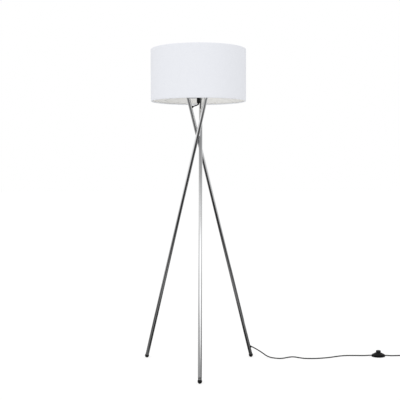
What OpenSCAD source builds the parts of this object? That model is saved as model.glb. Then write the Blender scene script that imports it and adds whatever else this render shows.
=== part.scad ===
// Floor lamp on three crossed tubes, with a drum shade, a foot switch on its flex and a mains plug.
// Millimetres, +Z up. The origin is on the floor, on the shade's axis, and the front leg points along -Y.

/* [Legs] */
// Outer diameter of a leg tube
leg_d = 17; // [13:0.5:22]
// Wall of a leg tube
leg_wall = 1.2; // [0.8:0.1:1.8]
// Distance from the lamp's axis at which a leg's line meets the floor
foot_reach = 304; // [240:1:370]
// Height of the underside of the plate on the tubes' tops
plate_h = 1280; // [1060:1:1540]
// How far below the plate the tubes cross
cross_drop = 177; // [145:1:230]
// Rubber around the tube in a foot
foot_wall = 1.7; // [1.2:0.1:3]
// Length of a foot above the centre of its dome
foot_lip = 5; // [3:0.5:12]
// How much of the dome is worn flat on the floor
foot_flat = 0.5; // [0.3:0.1:1]
// Diameter of the studs that tie the tubes where they cross
stud_d = 4; // [3:0.5:5]

/* [Top plate] */
// Thickness of the plate
plate_t = 3; // [2:0.5:5]
// Edge of the plate outside a tube
plate_edge = 1.5; // [1:0.5:6]
// Diameter of the plate's screws
plate_screw_d = 4; // [3:0.5:5]
// Length of the plate's screws under their heads
plate_screw_l = 10; // [8:1:12]

/* [Lampholder] */
// Diameter of the hollow threaded rod
nipple_d = 10; // [9:0.5:13]
// Bore of the hollow threaded rod
nipple_bore = 6.8; // [6.2:0.1:8]
// Diameter of the cord grip under the plate
grip_d = 16; // [14:0.5:22]
// Height of the cord grip
grip_h = 23.4; // [18:0.1:32]
// Wall of the lampholder's threaded body
holder_wall = 4.2; // [3:0.1:6]
// Height of the lampholder's cap
holder_cap_h = 22; // [18:1:28]
// Height of the lampholder's threaded body
holder_body_h = 36; // [34:1:42]
// How far the rings that clamp the shade stand out of the lampholder
shade_ring_w = 5.5; // [4:0.5:8]

/* [Bulb] */
// Diameter of the bulb's screw cap
bulb_cap_d = 26.5; // [24:0.1:26.6]
// Diameter of the bulb's globe
bulb_d = 60; // [50:1:80]
// Length of the bulb
bulb_l = 108; // [100:1:125]

/* [Shade] */
// Outer diameter of the drum
shade_d = 450; // [360:5:560]
// Height of the drum
shade_h = 244; // [180:1:320]
// Height of the spider's hub above the drum's lower edge
hub_rise = 50; // [30:1:70]
// Thickness of the fabric
fabric_t = 0.6; // [0.4:0.1:1]
// Thickness of the lining
lining_t = 0.5; // [0.3:0.1:1]
// Diameter of the drum's wire rings
ring_wire_d = 4; // [3:0.5:6]
// Diameter of the spider's arms
arm_d = 3; // [2.5:0.1:4]
// Thickness of the spider's hub
hub_t = 1.5; // [1:0.1:2.5]
// Direction of the spider's first arm
arm_turn = 35; // [0:1:119]

/* [Flex] */
// Diameter of the flex
flex_d = 5.6; // [4.6:0.1:6.7]
// Height of the flex's hole near the right foot
exit_h = 53; // [45:1:90]
// How far below the plate the flex enters the right leg
entry_drop = 44; // [38:1:60]
// Outer diameter of a grommet
grommet_d = 11.5; // [10:0.5:13]
// How far a grommet stands out of its tube
grommet_out = 4.3; // [3:0.1:6]

/* [Foot switch] */
// Length of the switch's case
switch_l = 66; // [60:1:80]
// Width of the switch's case
switch_w = 50; // [42:1:60]
// Height of the switch's case
switch_h = 22; // [20:1:28]
// Wall of the switch's case
switch_wall = 2; // [1.5:0.1:2.2]
// Diameter of the button
button_d = 23.6; // [20:0.1:24]
// How far the button stands out of the case
button_out = 9; // [6:0.5:12]
// How far the button travels
button_travel = 4; // [2:0.5:4]

/* [Plug] */
// Width of the plug's body
plug_w = 50; // [48:1:56]
// Length of the plug's body
plug_l = 46; // [44:1:54]
// Thickness of the plug's body
plug_t = 19; // [18:1:24]
// Length of the plug's strain relief
relief_l = 35; // [20:1:45]

/* [Hidden] */
$fn = 64;

// Clearance between pieces that are pushed or screwed together
fit = 0.05;
// Clearance between pieces that move or are wrapped round each other
loose = 0.3;
// Overlap that makes a cut run clean through
cut = 1;

cross_h = plate_h - cross_drop;
entry_h = plate_h - entry_drop;

// Legs: directions of the feet about the axis
front = -90;
right = 30;
left = 150;
FEET = [front, right, left];
leg_r = leg_d / 2;
leg_ir = leg_r - leg_wall;
lean = foot_reach / cross_h;
tilt = atan(lean);
// Offset of each tube's line from the axis at which the three tubes just touch
skew = (leg_d + fit) / sqrt(3) * sqrt(1 + lean * lean / 4);
// The tubes touch this far above and below the height at which they cross
touch_rise = skew * lean * sqrt(3) / (4 + lean * lean);
stud_reach = 3;

foot_r = leg_r + foot_wall;
dome_h = foot_r - foot_flat;
tube_sink = 2;

plate_top = plate_h + plate_t;
plate_corner_r = leg_r + plate_edge;
plug_depth = 18;
screw_head_r = plate_screw_d * 0.95;
screw_head_h = plate_screw_d * 0.6;

// Stack on the axis
washer_t = 0.8;
nut_t = 3.2;
nut_flats = nipple_d * 1.4;
holder_z = plate_top + washer_t + nut_t;
nipple_grip = 12;
nipple_top = 9;
grip_z = plate_h - grip_h;
shell_t = 0.4;
shell_r = bulb_cap_d / 2 + 0.25 + shell_t;
holder_bore_r = shell_r + 1.4;
holder_r = holder_bore_r + holder_wall;
shade_ring_r = holder_r + shade_ring_w;
cap_boss_r = nipple_d / 2 + 4;
seat_w = 0.7;
body_z = holder_z + holder_cap_h;
holder_top = body_z + holder_body_h;
insert_h = 10;
insert_top = body_z + insert_h;
contact_h = 3.5;
bulb_z = insert_top + contact_h + 0.1;
hub_z = body_z + 6;
ring_h = 5;
top_ring_h = 8;

// Bulb
bulb_cap_h = 24;
bulb_r = bulb_d / 2;
globe_z = bulb_z + bulb_l - bulb_r;
globe_cut = 16;
globe_t = 1.5;
globe_neck_r = sqrt(bulb_r * bulb_r - globe_cut * globe_cut);

// Shade
shade_r = shade_d / 2;
shade_z = hub_z - hub_rise;
shade_top = shade_z + shade_h;
wire_r = ring_wire_d / 2;
hem_gap = 0.3;
hem_r = wire_r + hem_gap + fabric_t;
wire_ring_r = shade_r - hem_r;
low_wire_z = shade_z + hem_r;
high_wire_z = shade_top - hem_r;
lining_r = shade_r - fabric_t - hem_gap;
hub_r = shade_ring_r + 5;

// Flex
flex_r = flex_d / 2;
flex_sides = 10;
hole_r = grommet_d / 2 - 1.6;
grommet_bore_r = flex_r + 0.2;
exit_dir = [1, 0, 0];
entry_rise = 25;
entry_dir = [cos(entry_rise), 0, sin(entry_rise)];

// Height of the flex's middle where it lies on the floor
rest_z = flex_r + 0.2;
// The routes run east and north from the flex's lower hole. The third number is how much of the way up
// the flex is, from lying on the floor to the piece that it joins at the route's end
FROM_LEG = [
    [leg_r, 0, 1], [leg_r + 5, 0, 0.995], [20.4, -0.3, 0.94], [29.4, -1.1, 0.85], [39.4, -2.3, 0.74],
    [50.4, -4, 0.616], [62.4, -6.3, 0.472], [74.4, -8.8, 0.312], [85.4, -11.8, 0.176], [96.4, -15.8, 0.076],
    [107.4, -20.3, 0.024], [120, -26.3, 0.004]
];
TO_SWITCH = [
    [134, -32, 0], [148, -35.8, 0], [162, -34.3, 0], [176, -27.3, 0], [191, -16.8, 0],
    [206, -8.3, 0], [221, -5.8, 0], [236, -10.8, 0], [251, -21.3, 0], [267, -30.3, 0],
    [285, -34.8, 0], [306, -35.8, 0], [330, -34.3, 0], [356, -28.8, 0], [382, -21.3, 0],
    [408, -10.8, 0], [434, 2.7, 0], [460, 15.2, 0], [486, 22.5, 0], [514, 25, 0],
    [544, 25, 0], [570, 23.4, 0.06], [588, 20.4, 0.42], [602, 17.6, 0.88], [613, 16.7, 1], [625.4, 16.7, 1]
];
FROM_SWITCH = [
    [675.4, 16.7, 1], [687, 16.7, 1], [700, 18, 0.7], [716, 21.2, 0.2], [734, 24.8, 0.02]
];
TO_COIL = [
    [760, 27.8, 0], [788, 29, 0.2], [815, 29, 0.9], [839.4, 29, 1]
];
// From the top of the coil to the plug, north of the coil's right side
TO_PLUG = [[0, 0, 0], [0, 24, 0.6], [0.4, 40, 1], [0.6, 56, 1], [0.6, 70, 1]];

// Coil: turns a pitch apart, in a lower layer of three and an upper layer of two
coil_r = 32;
turn_pitch = flex_d + 0.1;
coil_x = 839.4;
coil_y = 29 + coil_r + turn_pitch;
tie_t = 1;
tie_gap = 0.2;
tie_w = 5;
coil_z = tie_t + tie_gap;
layer_h = turn_pitch * sqrt(3) / 2;
coil_low_r = turn_pitch + flex_r;
coil_high_r = turn_pitch / 2 + flex_r;
TIE_TURNS = [135, 315];
coil_low_z = coil_z + flex_r;
coil_high_z = coil_low_z + layer_h;

// Foot switch
switch_x = 650.4;
switch_y = 16.7;
switch_split = 6.5;
switch_end_w = 12;
switch_end_h = 12;
switch_side_h = 15;
switch_foot = 1.5;
boat_r = (pow(switch_l, 2) + pow(switch_w - switch_end_w, 2)) / 4 / (switch_w - switch_end_w);
long_arch_r = (pow(switch_l / 2, 2) + pow(switch_h - switch_end_h, 2)) / 2 / (switch_h - switch_end_h);
side_arch_r = (pow(switch_w / 2, 2) + pow(switch_h - switch_side_h, 2)) / 2 / (switch_h - switch_side_h);
button_r = button_d / 2;
button_top = switch_h + button_out;
button_wall = 2;
flange_r = button_r + 1.7;
flange_t = 1.5;
// The flange stays under the case where the case is lowest above it
flange_dip = side_arch_r - switch_wall - sqrt(pow(side_arch_r - switch_wall, 2) - pow(flange_r, 2));
flange_z = switch_h - switch_wall - flange_dip - loose - flange_t;
terminal_x = flange_r + 4;
carrier_l = 2 * (terminal_x - 3.5);
carrier_w = 18;
carrier_h = 5.5;
post_r = 3.4;
post_h = 4.5;
spring_r = 4.5;
spring_wire_r = 0.5;
spring_turns = 5;
spring_z = switch_wall + carrier_h + spring_wire_r + 0.1;
spring_top = button_top - button_wall - spring_wire_r - 0.1;
boss_r = 2.6;
boss_x = 17;
boss_way = boat_r - switch_wall - boss_r - 0.3;
boss_y = sqrt(boss_way * boss_way - boss_x * boss_x) - (boat_r - switch_w / 2);
case_screw_r = 1.2;

// Plug, lying on its back with its pins up
plug_x = coil_x + coil_r + turn_pitch / 2 + 0.6;
plug_y = coil_y + 44 + relief_l;
plug_corner = 9;
plug_flex_z = 10.5;
line_pin_y = 12;
pin_step = 22.2;
earth_pin_y = line_pin_y + pin_step;
pin_root = 6;
line_pin = [6.35, 4, 17.7 + pin_root];
earth_pin = [4, 8, 22.7 + pin_root];
carrier_y = line_pin_y + 10.6;
fuse_carrier_l = 30;
fuse_carrier_w = 8;
fuse_carrier_t = 2.5;
fuse_d = 6.3;
fuse_l = 25.4;
fuse_z = plug_t - fuse_carrier_t - fuse_d / 2 - 0.1;

// ---- helpers ----

function outward(t) = [cos(t), sin(t), 0];
function aside(t) = [-sin(t), cos(t), 0];
// Point on the line of the leg towards t, at height z
function on_line(t, z) = outward(t) * foot_reach * (1 - z / cross_h) + aside(t) * skew + [0, 0, z];
function unit(v) = v / norm(v);
function bezier(a, b, c, d, s) =
    a * pow(1 - s, 3) + b * 3 * s * pow(1 - s, 2) + c * 3 * s * s * (1 - s) + d * pow(s, 3);
function curve(a, b, c, d, steps) = [for (i = [0:steps]) bezier(a, b, c, d, i / steps)];
function heading(path, i) =
    unit(path[min(i + 1, len(path) - 1)] - path[max(i - 1, 0)]);

// Stands a child on the leg towards t: its z runs up the tube from the floor, its x points outwards
module on_leg(t)
    translate(on_line(t, 0)) rotate([0, 0, t]) rotate([0, -tilt, 0]) children();

// Points a child's z from a towards b, and puts it at a
module aim(a, b) {
    d = b - a;
    translate(a) rotate([0, acos(d[2] / norm(d)), atan2(d[1], d[0])]) children();
}

module rod(a, b, r)
    aim(a, b) cylinder(r = r, h = norm(b - a));

module ring(inner_r, outer_r, h)
    difference() {
        cylinder(r = outer_r, h = h);
        translate([0, 0, -cut]) cylinder(r = inner_r, h = h + 2 * cut);
    }

// Round tube through every point of a path; across is a direction that the path never takes
module swept(path, r, sides, across) {
    n = len(path);
    points = [
        for (i = [0:n - 1])
            let (d = heading(path, i), s = unit(cross(d, across)), u = cross(s, d))
                for (k = [0:sides - 1])
                    path[i] + r * (cos(360 * k / sides) * s + sin(360 * k / sides) * u)
    ];
    walls = [
        for (i = [0:n - 2], k = [0:sides - 1])
            let (a = i * sides + k, b = i * sides + (k + 1) % sides)
                each [[a, b, b + sides], [a, b + sides, a + sides]]
    ];
    first = [[for (k = [0:sides - 1]) sides - 1 - k]];
    last = [[for (k = [0:sides - 1]) (n - 1) * sides + k]];
    polyhedron(points = points, faces = concat(walls, first, last));
}

// Flat plate with round corners, centred on the origin
module rounded_plate(w, l, corner, h)
    linear_extrude(h) {
        square([w - 2 * corner, l], center = true);
        square([w, l - 2 * corner], center = true);
        for (x = [-1, 1], y = [-1, 1])
            translate([x * (w / 2 - corner), y * (l / 2 - corner)]) circle(r = corner);
    }

// ---- legs ----

module below_plate()
    translate([-foot_reach, -foot_reach, -cut])
        cube([2 * foot_reach, 2 * foot_reach, plate_h + cut]);

module stud_at(i, r, h) {
    a = on_line(FEET[i], cross_h + touch_rise);
    b = on_line(FEET[i] + 120, cross_h - touch_rise);
    aim((a + b) / 2, b) cylinder(r = r, h = h, center = true);
}

module leg_tube(t)
    intersection() {
        on_leg(t) translate([0, 0, (dome_h - tube_sink) / cos(tilt)])
            ring(leg_ir, leg_r, plate_h / cos(tilt) + leg_d);
        below_plate();
    }

module leg(t)
    color("silver")
        difference() {
            leg_tube(t);
            for (i = [0:2])
                if (FEET[i] == t || (FEET[i] + 120 - t) % 360 == 0)
                    stud_at(i, stud_d / 2 + fit, 2 * (leg_wall + stud_reach) + cut);
        }

module leg_front() leg(front);
module leg_left() leg(left);
module leg_right()
    color("silver")
        difference() {
            leg(right);
            grommet_hole(entry_h, entry_dir);
            grommet_hole(exit_h, exit_dir);
        }

module waist_studs()
    color("dimgray")
        for (i = [0:2])
            stud_at(i, stud_d / 2, 2 * (leg_wall + stud_reach));

module foot(t)
    color("black")
        difference() {
            on_leg(t) translate([0, 0, dome_h / cos(tilt)]) {
                difference() {
                    union() {
                        sphere(r = foot_r);
                        cylinder(r = foot_r, h = foot_lip - 1);
                        translate([0, 0, foot_lip - 1]) cylinder(r1 = foot_r, r2 = foot_r - 0.7, h = 1);
                    }
                    translate([0, 0, -tube_sink / cos(tilt)])
                        cylinder(r = leg_r + fit, h = 2 * foot_r + foot_lip);
                }
            }
            translate(on_line(t, 0) - [2 * foot_r, 2 * foot_r, 4 * foot_r])
                cube([4 * foot_r, 4 * foot_r, 4 * foot_r]);
        }

module foot_front() foot(front);
module foot_right() foot(right);
module foot_left() foot(left);

module at_tube_tops()
    for (t = FEET)
        translate(on_line(t, plate_h)) children();

module tube_plugs()
    color("gray")
        for (t = FEET)
            difference() {
                intersection() {
                    on_leg(t) translate([0, 0, (plate_h - plug_depth) / cos(tilt)])
                        cylinder(r = leg_ir - fit, h = plug_depth / cos(tilt) + leg_d);
                    below_plate();
                }
                translate(on_line(t, plate_h) - [0, 0, plate_screw_l - plate_t + 2])
                    cylinder(r = plate_screw_d / 2 + fit, h = plate_screw_l + cut);
            }

// ---- top plate and the stack on the axis ----

module plate_outline() {
    corners = [for (t = FEET) [on_line(t, plate_h)[0], on_line(t, plate_h)[1]]];
    for (i = [0:2]) {
        a = corners[i];
        b = corners[(i + 1) % 3];
        side = unit([(b - a)[1], -(b - a)[0]]) * plate_corner_r;
        translate(a) circle(r = plate_corner_r);
        polygon([a, a + side, b + side, b]);
    }
    polygon(corners);
}

module top_plate()
    color("silver")
        difference() {
            translate([0, 0, plate_h]) linear_extrude(plate_t) plate_outline();
            translate([0, 0, plate_h - cut]) cylinder(r = nipple_d / 2 + fit, h = plate_t + 2 * cut);
            at_tube_tops() translate([0, 0, -cut])
                cylinder(r = plate_screw_d / 2 + 0.1, h = plate_t + 2 * cut);
        }

module plate_screws()
    color("lightgray")
        at_tube_tops() translate([0, 0, plate_t])
            difference() {
                union() {
                    translate([0, 0, -plate_screw_l]) cylinder(r = plate_screw_d / 2, h = plate_screw_l);
                    cylinder(r = screw_head_r, h = screw_head_h);
                }
                translate([0, 0, screw_head_h / 3])
                    cylinder(r = plate_screw_d * 0.36, h = screw_head_h, $fn = 6);
            }

module nipple()
    color("gold")
        translate([0, 0, plate_h - nipple_grip])
            ring(nipple_bore / 2, nipple_d / 2, nipple_grip + holder_z - plate_h + nipple_top);

module lock_washer()
    color("lightgray")
        translate([0, 0, plate_top]) ring(nipple_d / 2 + fit, nipple_d * 0.85, washer_t);

module lock_nut()
    color("lightgray")
        translate([0, 0, plate_top + washer_t])
            difference() {
                cylinder(d = nut_flats / cos(30), h = nut_t, $fn = 6);
                translate([0, 0, -cut]) cylinder(r = nipple_d / 2 + fit, h = nut_t + 2 * cut);
            }

module cord_grip()
    color("black")
        difference() {
            translate([0, 0, grip_z]) {
                translate([0, 0, 2]) cylinder(d = grip_d, h = grip_h - 2);
                cylinder(d1 = grip_d - 3, d2 = grip_d, h = 2);
            }
            translate([0, 0, grip_z - cut]) cylinder(r = grommet_bore_r, h = grip_h + 2 * cut);
            translate([0, 0, plate_h - nipple_grip]) cylinder(r = nipple_d / 2 + fit, h = nipple_grip + cut);
            grip_screw_place() cylinder(r = 1.5 + fit, h = grip_d);
        }

module grip_screw_place()
    translate([0, 0, grip_z + 6]) rotate([0, 0, 60]) rotate([0, 90, 0]) children();

module grip_screw()
    color("black")
        grip_screw_place() translate([0, 0, flex_r + 0.1])
            difference() {
                cylinder(r = 1.5, h = grip_d / 2 - flex_r - 0.6);
                translate([-2, -0.3, grip_d / 2 - flex_r - 1.4]) cube([4, 0.6, 2]);
            }

// ---- lampholder ----

module holder_cap()
    color("black")
        translate([0, 0, holder_z])
            rotate_extrude()
                polygon([
                    [nipple_d / 2 + fit, 0], [cap_boss_r + 4, 0], [holder_r - 0.5, holder_cap_h * 0.45],
                    [holder_r - 0.5, holder_cap_h], [holder_bore_r - seat_w, holder_cap_h],
                    [holder_bore_r - seat_w, holder_cap_h * 0.5], [cap_boss_r, nipple_top],
                    [nipple_d / 2 + fit, nipple_top]
                ]);

module holder_body()
    color("black")
        translate([0, 0, body_z])
            ring(holder_bore_r, holder_r, holder_body_h);

module holder_insert()
    color("ivory")
        translate([0, 0, body_z])
            difference() {
                cylinder(r = holder_bore_r - fit, h = insert_h);
                for (x = [-8, 8])
                    translate([x, 0, -cut]) cylinder(r = 1.5 + fit, h = 6 + cut);
            }

module terminal_screws()
    color("gold")
        for (x = [-8, 8])
            translate([x, 0, body_z - 1.5]) {
                cylinder(r = 1.5, h = 7);
                cylinder(r = 2.8, h = 1.5);
            }

module core_wires()
    color("saddlebrown")
        for (x = [-1, 1])
            rod([1.3 * x, 0, holder_z + nipple_top + 2.5], [4.2 * x, 0, body_z - 0.6], 1);

module screw_shell()
    color("goldenrod")
        translate([0, 0, insert_top]) {
            ring(shell_r - shell_t, shell_r, holder_top - insert_top - 2);
            ring(9, shell_r, shell_t);
        }

module centre_contact()
    color("gold")
        translate([0, 0, insert_top]) {
            translate([-4, -3, 0]) cube([9, 6, 0.5]);
            translate([4.5, -3, 0]) cube([0.5, 6, contact_h]);
            translate([-3, -3, contact_h - 0.5]) cube([8, 6, 0.5]);
        }

module clamp_ring(h)
    color("black")
        ring(holder_r + fit, shade_ring_r, h);

module shade_ring_lower() translate([0, 0, hub_z - ring_h]) clamp_ring(ring_h);
module shade_ring_upper() translate([0, 0, hub_z + hub_t]) clamp_ring(top_ring_h);

// ---- bulb ----

module bulb_cap()
    color("lightgray")
        translate([0, 0, bulb_z]) {
            cylinder(r = 4, h = 2.5);
            translate([0, 0, 1.5]) cylinder(r1 = 6, r2 = bulb_cap_d / 2, h = 3.5);
            translate([0, 0, 5]) cylinder(d = bulb_cap_d, h = bulb_cap_h - 5);
        }

module bulb_housing()
    color("white")
        translate([0, 0, bulb_z + bulb_cap_h])
            cylinder(r1 = bulb_cap_d / 2 + 1, r2 = globe_neck_r,
                     h = globe_z - globe_cut - bulb_z - bulb_cap_h);

module bulb_globe()
    color("ivory")
        translate([0, 0, globe_z])
            difference() {
                sphere(r = bulb_r);
                sphere(r = bulb_r - globe_t);
                translate([-bulb_r, -bulb_r, -bulb_d - globe_cut]) cube([bulb_d, bulb_d, bulb_d]);
            }

// ---- shade ----

// Fabric rolled round a wire ring, in profile about the wire's centre; up is 1 on the lower ring
module hem_profile(up)
    difference() {
        circle(r = hem_r);
        circle(r = wire_r + hem_gap);
        translate([0, up > 0 ? 0 : -hem_r]) square([hem_r, hem_r]);
    }

module shade_fabric()
    color("white")
        difference() {
            rotate_extrude() {
                translate([wire_ring_r, low_wire_z]) hem_profile(1);
                translate([wire_ring_r, high_wire_z]) hem_profile(-1);
                translate([shade_r - fabric_t, low_wire_z]) square([fabric_t, high_wire_z - low_wire_z]);
            }
            arms(arm_d / 2 + loose, wire_ring_r);
        }

module shade_lining()
    color("snow")
        translate([0, 0, low_wire_z + hem_r + hem_gap])
            ring(lining_r - lining_t, lining_r, high_wire_z - low_wire_z - 2 * (hem_r + hem_gap));

module wire_ring(z)
    color("whitesmoke")
        rotate_extrude() translate([wire_ring_r, z]) circle(r = wire_r);

module top_ring() wire_ring(high_wire_z);
module bottom_ring() wire_ring(low_wire_z);

// Point on the middle of the arm towards t, at a distance from the axis
function on_arm(t, reach) =
    outward(t) * reach
    + [0, 0, hub_z + hub_t / 2 - (hub_z + hub_t / 2 - low_wire_z) * (reach - hub_r) / (wire_ring_r - hub_r)];

module arms(r, end)
    for (i = [0:2])
        rod(on_arm(arm_turn + 120 * i, hub_r - 3), on_arm(arm_turn + 120 * i, end), r);

module spider_arms()
    color("whitesmoke")
        difference() {
            arms(arm_d / 2, wire_ring_r - wire_r - 0.2);
            translate([0, 0, hub_z - 10]) cylinder(r = hub_r + fit, h = 20);
        }

module spider_hub()
    color("whitesmoke")
        translate([0, 0, hub_z]) ring(holder_r + loose, hub_r, hub_t);

// ---- flex in the leg ----

module grommet_hole(z, dir)
    aim(on_line(right, z), on_line(right, z) + dir) cylinder(r = hole_r + fit, h = 2 * leg_r);

module grommet(z, dir)
    color("black")
        difference() {
            union() {
                difference() {
                    aim(on_line(right, z), on_line(right, z) + dir) {
                        cylinder(d = grommet_d, h = leg_r + grommet_out - 1.5);
                        translate([0, 0, leg_r + grommet_out - 1.5])
                            cylinder(d1 = grommet_d, d2 = grommet_d - 3, h = 1.5);
                    }
                    on_leg(right) cylinder(r = leg_r + fit, h = 2 * plate_h);
                }
                aim(on_line(right, z), on_line(right, z) + dir)
                    translate([0, 0, leg_ir]) cylinder(r = hole_r, h = leg_wall + 1);
            }
            aim(on_line(right, z), on_line(right, z) + dir)
                translate([0, 0, -leg_r]) cylinder(r = grommet_bore_r, h = 4 * leg_r);
        }

module upper_grommet() grommet(entry_h, entry_dir);
module lower_grommet() grommet(exit_h, exit_dir);

// The cable from inside the lampholder's cap, through the rod and the grip, down the leg to its lower hole
module leg_cable() {
    entry = on_line(right, entry_h) + entry_dir * (leg_r + grommet_out + 1);
    path = concat(
        [[0, 0, holder_z + nipple_top + 2], [0, 0, grip_z + 4]],
        curve([0, 0, grip_z], [0, 0, grip_z - 9], entry + entry_dir * 9, entry, 8),
        curve(entry - entry_dir * 6.5, entry - entry_dir * 13,
              on_line(right, entry_h - 6), on_line(right, entry_h - 20), 7),
        curve(on_line(right, exit_h + 20), on_line(right, exit_h + 6),
              on_line(right, exit_h) - exit_dir * 1, on_line(right, exit_h) + exit_dir * (leg_r - 0.3), 7)
    );
    color("black") swept(path, flex_r, flex_sides, [0, 1, 0]);
}

// ---- flex on the floor ----

// Route with the heights worked out between two levels
function laid(route, low, high) = [for (p = route) [p[0], p[1], low + p[2] * (high - low)]];

// Everything that lies on the floor is placed from below the flex's lower hole
module on_floor()
    translate([on_line(right, exit_h)[0], on_line(right, exit_h)[1], 0]) children();

module flex(path)
    color("black") on_floor() swept(path, flex_r, flex_sides, [0, 0, 1]);

module floor_cord()
    flex(concat(laid(FROM_LEG, rest_z, exit_h), laid(TO_SWITCH, rest_z, switch_split)));

function coil_way() = laid(TO_COIL, rest_z, coil_low_z);
function plug_way() = [
    for (p = laid(TO_PLUG, coil_high_z, plug_flex_z))
        p + [coil_x + coil_r + turn_pitch / 2, coil_y, 0]
];

module plug_cord()
    flex(concat(laid(FROM_SWITCH, rest_z, switch_split), coil_way()));

module plug_lead()
    flex(plug_way());

// Outline of the wound turns in section, grown by g
module turns_section(g)
    polygon([
        [coil_r - coil_low_r - g, coil_z - g], [coil_r + coil_low_r + g, coil_z - g],
        [coil_r + coil_low_r + g, coil_z + flex_d + g / 2],
        [coil_r + coil_high_r + g / 2, coil_z + flex_d + layer_h + g],
        [coil_r - coil_high_r - g / 2, coil_z + flex_d + layer_h + g],
        [coil_r - coil_low_r - g, coil_z + flex_d + g / 2]
    ]);

module at_coil()
    on_floor() translate([coil_x, coil_y, 0]) children();

module cord_coil() {
    way_in = coil_way();
    way_out = plug_way();
    color("black")
        difference() {
            at_coil() rotate_extrude() turns_section(0);
            on_floor() {
                rod(way_in[3], way_in[2], flex_r + fit);
                rod(way_out[0], way_out[1], flex_r + fit);
                rod(way_out[1], way_out[2], flex_r + fit);
            }
        }
}

module coil_ties()
    color("black")
        at_coil()
            for (t = TIE_TURNS)
                rotate([0, 0, t]) rotate([90, 0, 0])
                    translate([0, 0, -tie_w / 2])
                        linear_extrude(tie_w)
                            difference() {
                                turns_section(tie_gap + tie_t);
                                turns_section(tie_gap);
                            }

// ---- foot switch ----

module at_switch()
    on_floor() translate([switch_x, switch_y, 0]) children();

// Plan of the case: two arcs that meet blunt ends, drawn in by g
module boat_plan(g)
    intersection() {
        translate([0, boat_r - switch_w / 2]) circle(r = boat_r - g);
        translate([0, switch_w / 2 - boat_r]) circle(r = boat_r - g);
        square([switch_l - 2 * g, switch_w], center = true);
    }

// Solid under the case's arched top, drawn in by g
module case_solid(g)
    intersection() {
        linear_extrude(switch_h) boat_plan(g);
        translate([0, switch_w, switch_h - long_arch_r]) rotate([90, 0, 0])
            cylinder(r = long_arch_r - g, h = 2 * switch_w);
        translate([-switch_l, 0, switch_h - side_arch_r]) rotate([0, 90, 0])
            cylinder(r = side_arch_r - g, h = 2 * switch_l);
    }

module flex_way()
    translate([-switch_l, 0, switch_split]) rotate([0, 90, 0])
        cylinder(r = flex_r + 0.1, h = 2 * switch_l);

module at_case_screws()
    for (s = [-1, 1])
        translate([s * boss_x, s * boss_y, 0]) children();

module switch_base()
    color("black")
        at_switch()
            difference() {
                union() {
                    linear_extrude(switch_foot) boat_plan(switch_foot);
                    translate([0, 0, switch_foot]) linear_extrude(switch_split - switch_foot) boat_plan(0);
                }
                translate([0, 0, switch_wall]) linear_extrude(switch_split) boat_plan(switch_wall);
                flex_way();
                at_case_screws() {
                    translate([0, 0, -cut]) cylinder(r = case_screw_r + 0.3, h = switch_h);
                    translate([0, 0, -cut]) cylinder(r = 2.5, h = cut + 0.9);
                }
            }

module switch_cover()
    color("black")
        at_switch()
            difference() {
                union() {
                    difference() {
                        case_solid(0);
                        case_solid(switch_wall);
                    }
                    intersection() {
                        case_solid(0);
                        at_case_screws() cylinder(r = boss_r, h = switch_h);
                    }
                }
                translate([-switch_l, -switch_w, -cut])
                    difference() {
                        cube([2 * switch_l, 2 * switch_w, cut + switch_split]);
                        translate([switch_l, switch_w, cut + switch_wall + fit])
                            at_case_screws() cylinder(r = boss_r, h = switch_split);
                    }
                translate([0, 0, switch_split]) cylinder(r = button_r + loose, h = switch_h);
                flex_way();
                at_case_screws() cylinder(r = case_screw_r + fit, h = switch_h / 2 + 1.5);
            }

module switch_button()
    color("black")
        at_switch()
            difference() {
                union() {
                    translate([0, 0, flange_z]) cylinder(r = flange_r, h = flange_t);
                    translate([0, 0, flange_z]) cylinder(r = button_r, h = button_top - 1 - flange_z);
                    translate([0, 0, button_top - 1]) cylinder(r1 = button_r, r2 = button_r - 1, h = 1);
                }
                translate([0, 0, flange_z - cut])
                    cylinder(r = button_r - button_wall, h = button_top - button_wall - flange_z + cut);
            }

module switch_spring() {
    steps = 12 * spring_turns;
    path = [
        for (i = [0:steps])
            [spring_r * cos(30 * i), spring_r * sin(30 * i), spring_z + (spring_top - spring_z) * i / steps]
    ];
    color("lightgray") at_switch() swept(path, spring_wire_r, 6, [0, 0, 1]);
}

module switch_carrier()
    color("dimgray")
        at_switch()
            translate([0, 0, switch_wall]) {
                translate([-carrier_l / 2, -carrier_w / 2, 0]) cube([carrier_l, carrier_w, carrier_h]);
                cylinder(r = post_r, h = carrier_h + post_h);
            }

module switch_contacts()
    color("gold")
        at_switch()
            for (s = [-1, 1])
                translate([s * (carrier_l / 2 - 3) - 3, -3, switch_wall + carrier_h]) cube([6, 6, 0.6]);

module switch_terminals()
    color("gold")
        at_switch()
            for (s = [-1, 1])
                translate([s * terminal_x, 0, switch_wall]) {
                    translate([-3, -4, 0]) cube([6, 8, 6.5]);
                    translate([0, 0, 6.5]) cylinder(r = 1.8, h = 1);
                }

module switch_screws()
    color("lightgray")
        at_switch()
            at_case_screws() {
                translate([0, 0, 0.3]) cylinder(r = 2.3, h = 0.6);
                translate([0, 0, 0.9]) cylinder(r = case_screw_r, h = switch_h / 2);
            }

// ---- plug ----

module at_plug()
    on_floor() translate([plug_x, plug_y, 0]) children();

// Square-cut post whose foot is centred on the origin, grown by g
module post(size, g)
    translate([-size[0] / 2 - g, -size[1] / 2 - g, -g])
        cube([size[0] + 2 * g, size[1] + 2 * g, size[2] + g]);

module line_pins(g)
    for (s = [-1, 1])
        translate([s * pin_step / 2, line_pin_y, plug_t - pin_root]) post(line_pin, g);

module earth_pin_post(g)
    translate([0, earth_pin_y, plug_t - pin_root]) post(earth_pin, g);

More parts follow.
